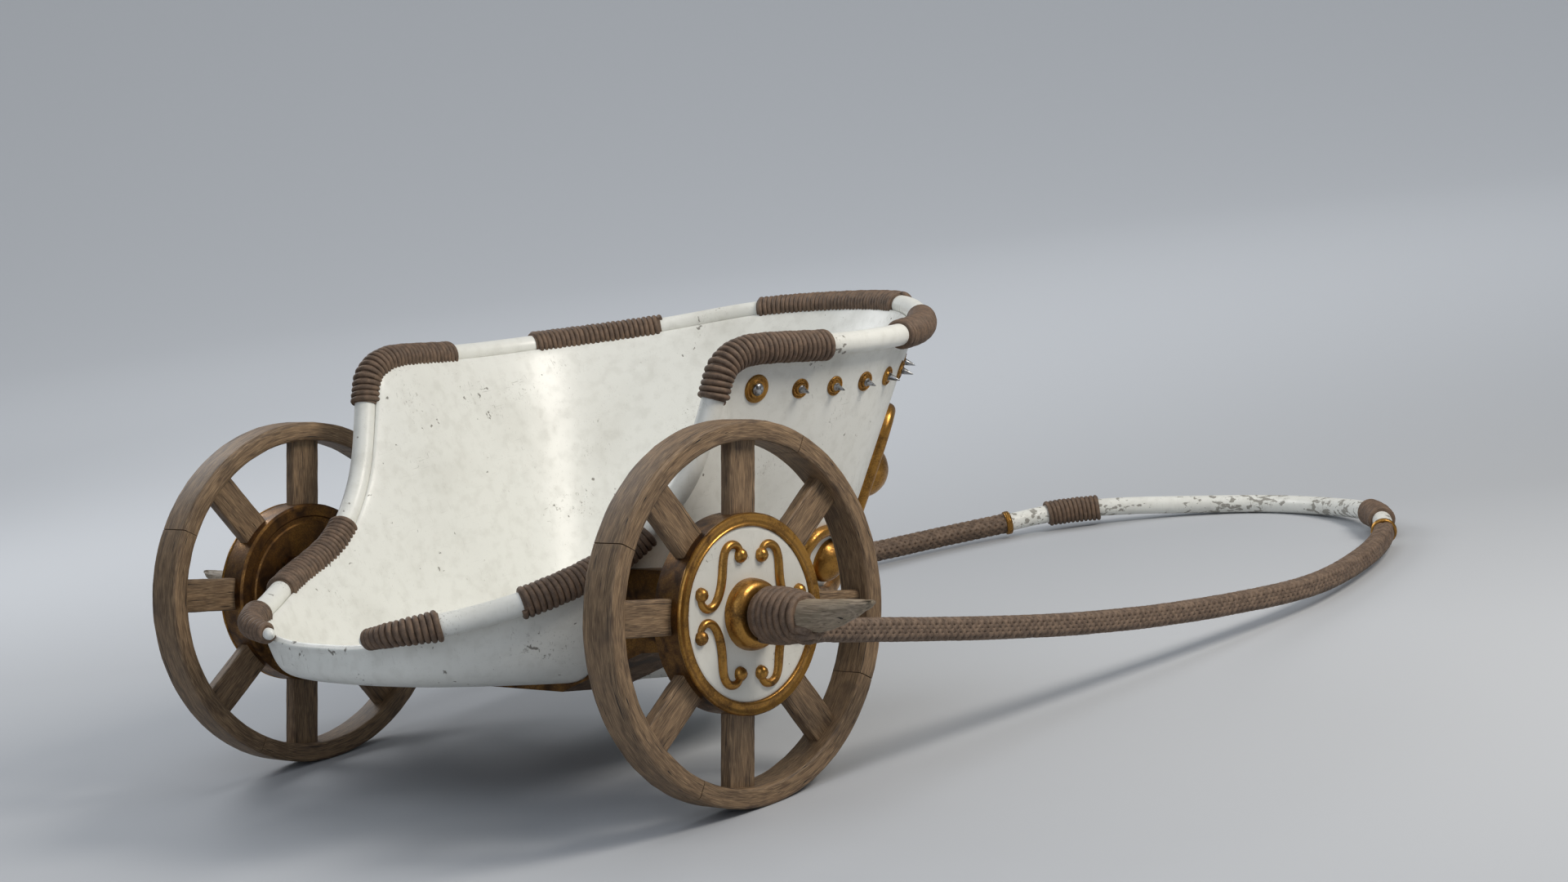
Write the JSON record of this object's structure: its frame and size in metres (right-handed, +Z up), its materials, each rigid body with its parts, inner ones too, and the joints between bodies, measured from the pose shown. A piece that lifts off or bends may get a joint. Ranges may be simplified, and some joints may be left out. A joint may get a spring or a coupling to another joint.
{
  "type": "two-wheeled chariot",
  "caption": "Ancient two-wheeled chariot with a scoop-shaped body, cord-wrapped rail, studded prow, spoked wheels on bronze hubs and a long draught loop.",
  "frame": {"origin": "on the floor, under the middle of the whole chariot as it stands parked", "axes": "+X forward towards the draught loop, +Y to the left, +Z up"},
  "size_m": [4.0066, 2.5226, 1.0812],
  "materials": {
    "white_enamel": "chipped white enamel, scratched satin",
    "weathered_oak": "weathered, open grain",
    "dark_bronze": "dark patina, worn bright at the edges",
    "axle_iron": "dull",
    "spike_steel": "dull bright",
    "leather_cord": "dry, matte",
    "braided_leather": "dry, matte",
    "weathered_horn": "bleached, splintered"
  },
  "bodies": {
    "chassis": {"axle_saddle": "dark_bronze", "axle_wrap_left": "leather_cord", "axle_wrap_right": "leather_cord", "body_shell": "white_enamel", "horn_left": "weathered_horn", "horn_right": "weathered_horn", "loop_collar_left": "dark_bronze", "loop_collar_right": "dark_bronze", "loop_front_bar": "white_enamel", "loop_leg_left": "braided_leather", "loop_leg_right": "braided_leather", "loop_wrap_left": "leather_cord", "loop_wrap_right": "leather_cord", "prow_scroll_left": "dark_bronze", "prow_scroll_right": "dark_bronze", "rail": "white_enamel", "rail_wrap_corner_left": "leather_cord", "rail_wrap_corner_right": "leather_cord", "rail_wrap_front": "leather_cord", "rail_wrap_lip_left": "leather_cord", "rail_wrap_lip_right": "leather_cord", "rail_wrap_lower_left": "leather_cord", "rail_wrap_lower_right": "leather_cord", "rail_wrap_side_left": "leather_cord", "rail_wrap_side_right": "leather_cord", "round_stud_left": "dark_bronze", "round_stud_right": "dark_bronze", "spiked_stud_01": "spike_steel", "spiked_stud_02": "spike_steel", "spiked_stud_03": "spike_steel", "spiked_stud_04": "spike_steel", "spiked_stud_05": "spike_steel", "spiked_stud_06": "spike_steel", "spiked_stud_07": "spike_steel", "spiked_stud_08": "spike_steel", "spiked_stud_09": "spike_steel", "spiked_stud_10": "spike_steel", "spiked_stud_11": "spike_steel", "spiked_stud_12": "spike_steel", "spiked_stud_13": "spike_steel", "spiked_stud_14": "spike_steel", "spiked_stud_15": "spike_steel", "spiked_stud_16": "spike_steel", "spiked_stud_17": "spike_steel", "stub_axle_left": "axle_iron", "stub_axle_right": "axle_iron"},
    "wheel_left": {"hub_drum_left": "dark_bronze", "hub_inlay_left": "white_enamel", "hub_nose_left": "dark_bronze", "wheel_rim_left": "weathered_oak"},
    "wheel_right": {"hub_drum_right": "dark_bronze", "hub_inlay_right": "white_enamel", "hub_nose_right": "dark_bronze", "wheel_rim_right": "weathered_oak"}
  },
  "joints": [
    {"name": "wheel_left_spin", "type": "hinge", "parent": "chassis", "child": "wheel_left", "pos_m": [-1.35773, 0.829, 0.45977], "axis": [0, 1, 0], "continuous": true},
    {"name": "wheel_right_spin", "type": "hinge", "parent": "chassis", "child": "wheel_right", "pos_m": [-1.35773, -0.829, 0.45977], "axis": [0, 1, 0], "continuous": true}
  ]
}
